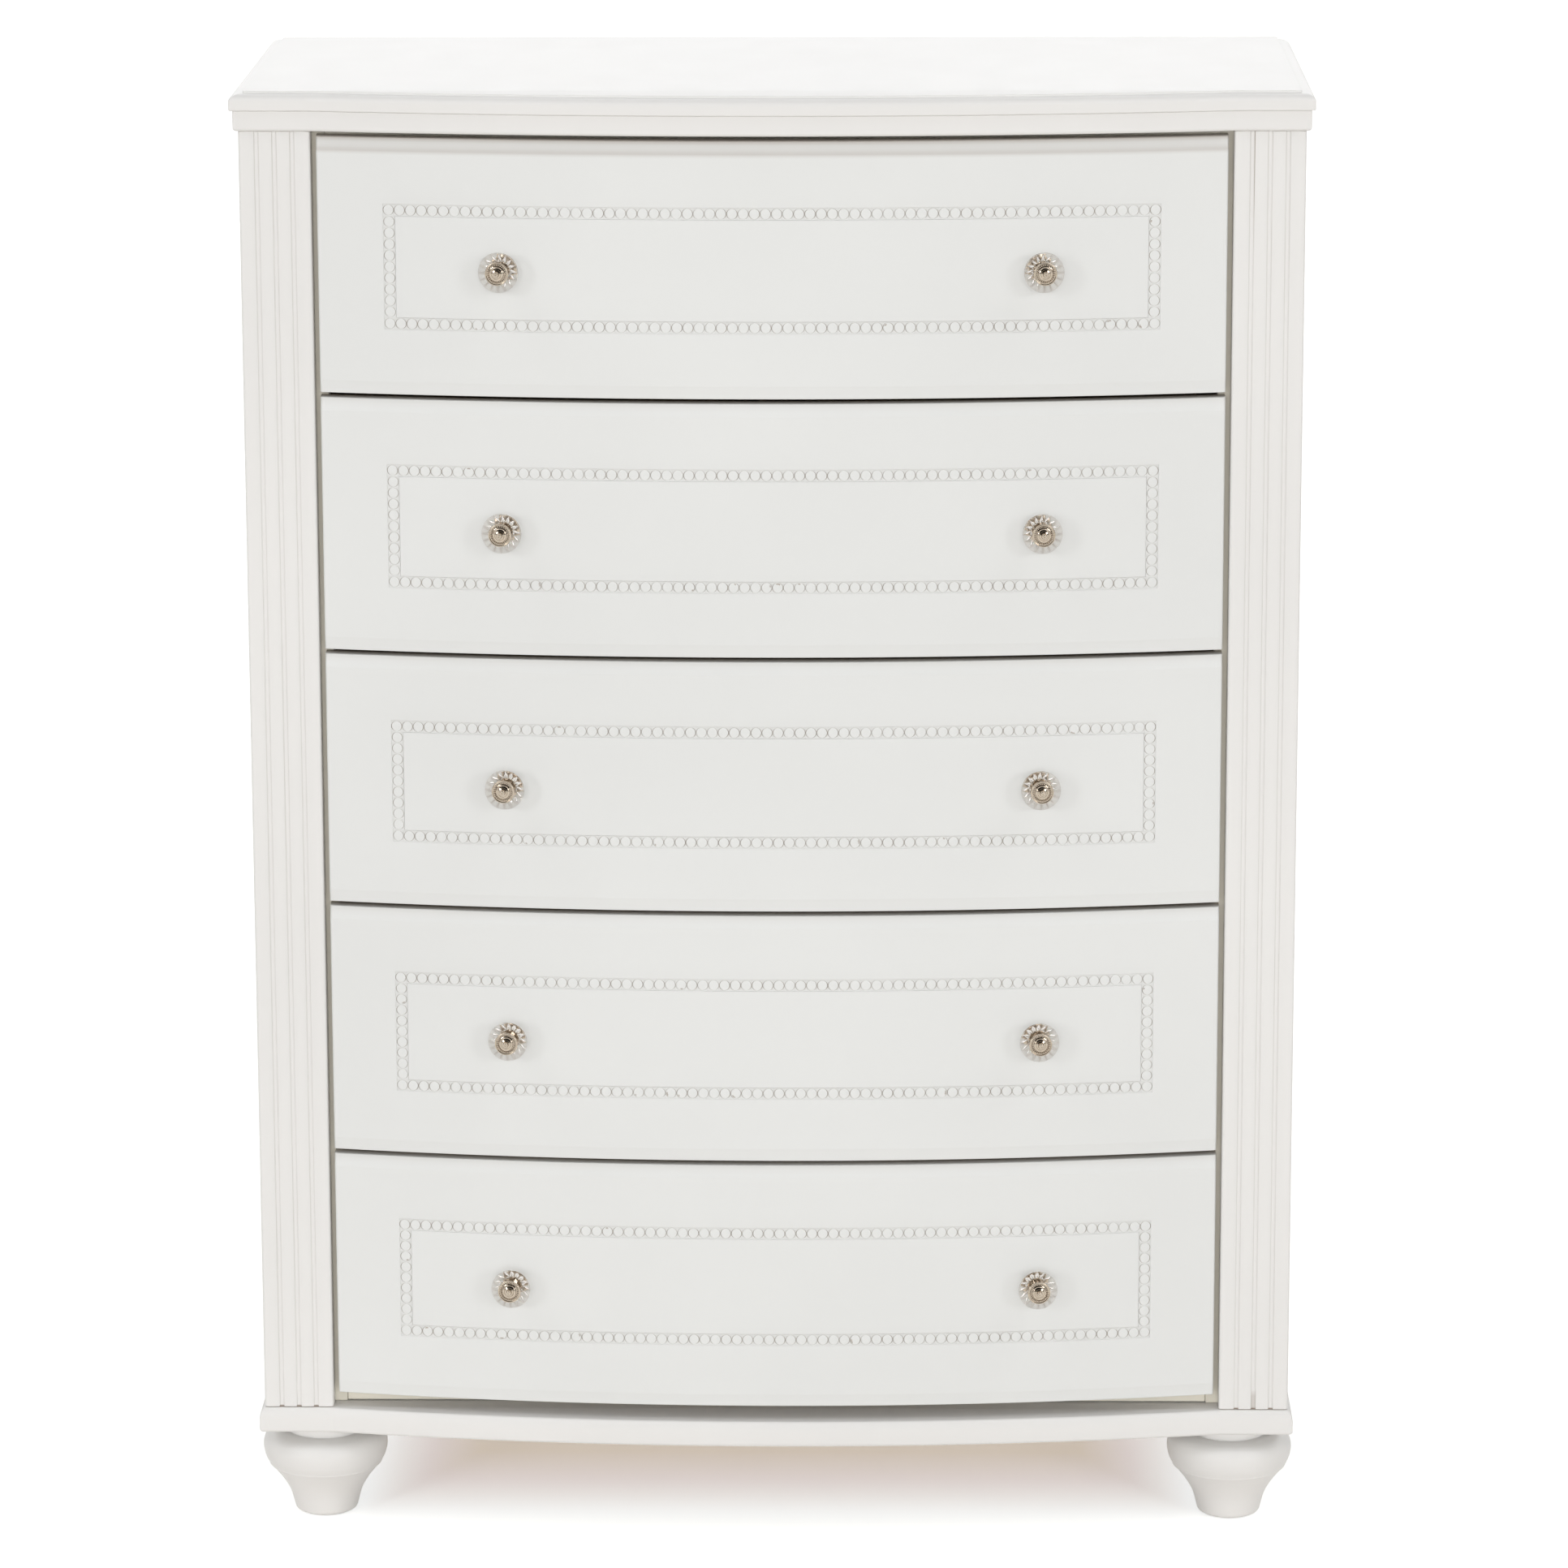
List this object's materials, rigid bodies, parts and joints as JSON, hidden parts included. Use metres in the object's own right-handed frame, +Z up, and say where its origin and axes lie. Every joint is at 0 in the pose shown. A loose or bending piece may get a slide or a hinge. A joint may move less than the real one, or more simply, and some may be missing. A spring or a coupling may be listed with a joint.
{
  "type": "tall chest of drawers",
  "caption": "Tall bow-front chest of drawers in white paint, with fluted pilasters, beaded drawer bands, fluted glass knobs and turned bun feet.",
  "frame": {"origin": "middle of the footprint (with the knobs), on the floor", "axes": "+Z up, the drawers open towards -Y, +X to the right of someone facing the drawers"},
  "size_m": [0.914, 0.4422, 1.2727],
  "materials": {
    "white_paint": "satin white paint",
    "drawer_wood": "clear lacquer",
    "back_board": "thin plywood",
    "clear_glass": "clear pressed glass",
    "warm_nickel": "polished warm nickel plate"
  },
  "bodies": {
    "cabinet": {"top_board": "white_paint", "top_moulding": "white_paint", "base_board": "white_paint", "face_frame": "white_paint", "back_panel": "back_board", "pilaster_left": "white_paint", "pilaster_right": "white_paint", "side_panel_left": "white_paint", "side_panel_right": "white_paint", "foot_front_left": "white_paint", "foot_front_right": "white_paint", "foot_rear_left": "white_paint", "foot_rear_right": "white_paint", "runner_1_left": "drawer_wood", "runner_1_right": "drawer_wood", "runner_2_left": "drawer_wood", "runner_2_right": "drawer_wood", "runner_3_left": "drawer_wood", "runner_3_right": "drawer_wood", "runner_4_left": "drawer_wood", "runner_4_right": "drawer_wood", "runner_5_left": "drawer_wood", "runner_5_right": "drawer_wood"},
    "drawer_1": {"drawer_1_front": "white_paint", "drawer_1_box": "drawer_wood", "drawer_1_bottom": "back_board", "drawer_1_knob_left_glass": "clear_glass", "drawer_1_knob_left_boss": "warm_nickel", "drawer_1_knob_right_glass": "clear_glass", "drawer_1_knob_right_boss": "warm_nickel"},
    "drawer_2": {"drawer_2_front": "white_paint", "drawer_2_box": "drawer_wood", "drawer_2_bottom": "back_board", "drawer_2_knob_left_glass": "clear_glass", "drawer_2_knob_left_boss": "warm_nickel", "drawer_2_knob_right_glass": "clear_glass", "drawer_2_knob_right_boss": "warm_nickel"},
    "drawer_3": {"drawer_3_front": "white_paint", "drawer_3_box": "drawer_wood", "drawer_3_bottom": "back_board", "drawer_3_knob_left_glass": "clear_glass", "drawer_3_knob_left_boss": "warm_nickel", "drawer_3_knob_right_glass": "clear_glass", "drawer_3_knob_right_boss": "warm_nickel"},
    "drawer_4": {"drawer_4_front": "white_paint", "drawer_4_box": "drawer_wood", "drawer_4_bottom": "back_board", "drawer_4_knob_left_glass": "clear_glass", "drawer_4_knob_left_boss": "warm_nickel", "drawer_4_knob_right_glass": "clear_glass", "drawer_4_knob_right_boss": "warm_nickel"},
    "drawer_5": {"drawer_5_front": "white_paint", "drawer_5_box": "drawer_wood", "drawer_5_bottom": "back_board", "drawer_5_knob_left_glass": "clear_glass", "drawer_5_knob_left_boss": "warm_nickel", "drawer_5_knob_right_glass": "clear_glass", "drawer_5_knob_right_boss": "warm_nickel"}
  },
  "joints": [
    {"name": "drawer_1_slide", "type": "slide", "parent": "cabinet", "child": "drawer_1", "axis": [0, -1, 0], "range_m": [0, 0.28]},
    {"name": "drawer_2_slide", "type": "slide", "parent": "cabinet", "child": "drawer_2", "axis": [0, -1, 0], "range_m": [0, 0.28]},
    {"name": "drawer_3_slide", "type": "slide", "parent": "cabinet", "child": "drawer_3", "axis": [0, -1, 0], "range_m": [0, 0.28]},
    {"name": "drawer_4_slide", "type": "slide", "parent": "cabinet", "child": "drawer_4", "axis": [0, -1, 0], "range_m": [0, 0.28]},
    {"name": "drawer_5_slide", "type": "slide", "parent": "cabinet", "child": "drawer_5", "axis": [0, -1, 0], "range_m": [0, 0.28]}
  ]
}
